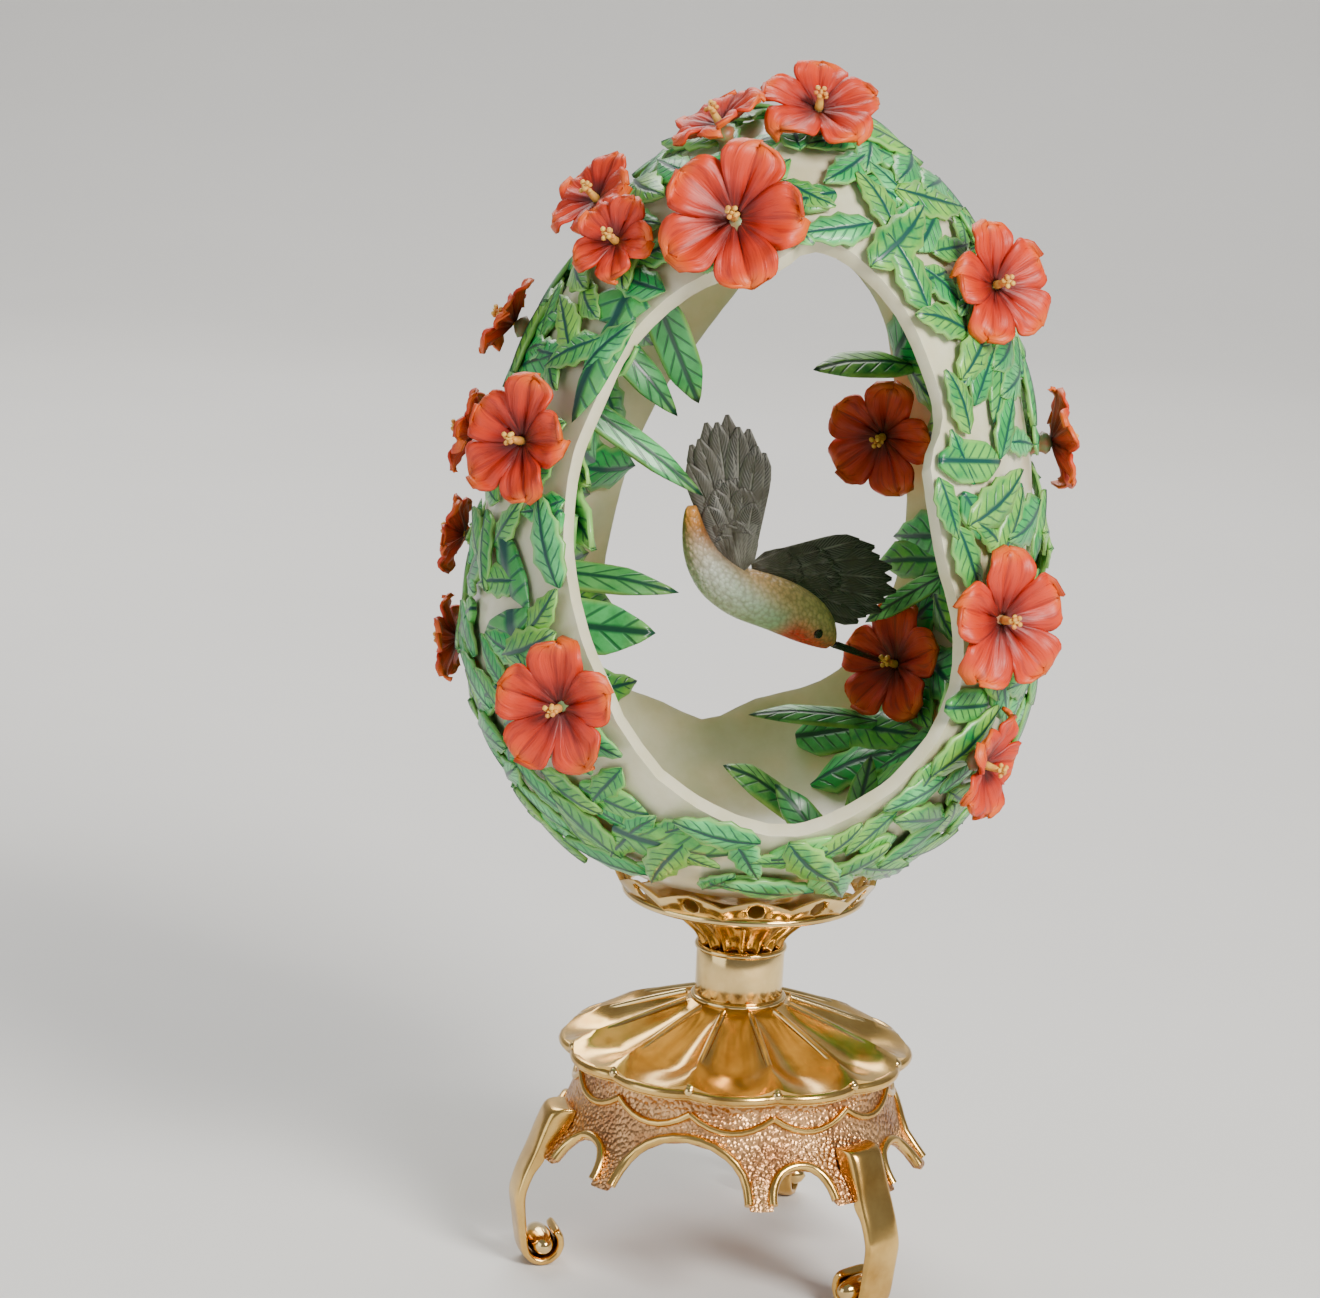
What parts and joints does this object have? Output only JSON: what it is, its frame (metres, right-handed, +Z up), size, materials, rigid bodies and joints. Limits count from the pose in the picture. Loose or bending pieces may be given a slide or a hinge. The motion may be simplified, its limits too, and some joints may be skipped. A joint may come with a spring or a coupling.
{
  "type": "decorative egg on stand",
  "caption": "Openwork ornamental egg with flowers, leaves and a small bird inside, resting loose in a fluted cup on a three-legged metal stand.",
  "frame": {"origin": "on the floor under the middle of the stand, at the axis that its cup, collar and dome share", "axes": "+Z up along the stand's axis, -Y towards the front window and the viewer, +X to the viewer's right"},
  "size_m": [0.0802, 0.0698, 0.1548],
  "materials": {
    "porcelain": "gloss",
    "leaf_glaze": "gloss",
    "free_leaf_glaze": "satin",
    "flower_glaze": "gloss",
    "bird_glaze": "gloss",
    "bird_dark": "gloss",
    "gilt": "polished",
    "rose_gilt": "hammered",
    "polished_gilt": "mirror polish",
    "steel": "plain"
  },
  "bodies": {
    "stand": {"base_skirt": "rose_gilt", "leg_1": "gilt", "leg_2": "gilt", "leg_3": "gilt", "foot_buttons": "gilt", "dome": "gilt", "collar": "polished_gilt", "cup": "polished_gilt", "gallery": "polished_gilt", "washer": "steel", "nut": "steel", "tie_rod": "steel"},
    "egg": {"bird_bill": "bird_dark", "bird_body": "bird_glaze", "bird_eyes": "bird_dark", "bird_left_wing": "bird_glaze", "bird_right_wing": "bird_glaze", "egg_shell": "porcelain", "flower_01": "flower_glaze", "flower_02": "flower_glaze", "flower_03": "flower_glaze", "flower_04": "flower_glaze", "flower_05": "flower_glaze", "flower_06": "flower_glaze", "flower_07": "flower_glaze", "flower_08": "flower_glaze", "flower_09": "flower_glaze", "flower_10": "flower_glaze", "flower_11": "flower_glaze", "flower_12": "flower_glaze", "flower_13": "flower_glaze", "flower_14": "flower_glaze", "flower_15": "flower_glaze", "flower_16": "flower_glaze", "flower_17": "flower_glaze", "flower_18": "flower_glaze", "flower_19": "flower_glaze", "flower_20": "flower_glaze", "free_leaf_01": "free_leaf_glaze", "free_leaf_02": "free_leaf_glaze", "free_leaf_03": "free_leaf_glaze", "free_leaf_04": "free_leaf_glaze", "free_leaf_05": "free_leaf_glaze", "free_leaf_06": "free_leaf_glaze", "free_leaf_07": "free_leaf_glaze", "free_leaf_08": "free_leaf_glaze", "free_leaf_09": "free_leaf_glaze", "free_leaf_10": "free_leaf_glaze", "free_leaf_11": "free_leaf_glaze", "free_leaf_12": "free_leaf_glaze", "inner_wall_leaves": "leaf_glaze", "leaves_back": "leaf_glaze", "leaves_crown": "leaf_glaze", "leaves_front_left": "leaf_glaze", "leaves_front_right": "leaf_glaze", "leaves_left_side": "leaf_glaze", "leaves_lower_left": "leaf_glaze", "leaves_right_side": "leaf_glaze", "leaves_wreath": "leaf_glaze"}
  },
  "joints": [
    {"name": "egg_lift", "type": "slide", "parent": "stand", "child": "egg", "axis": [0, 0, 1], "range_m": [0, 0.04]}
  ]
}
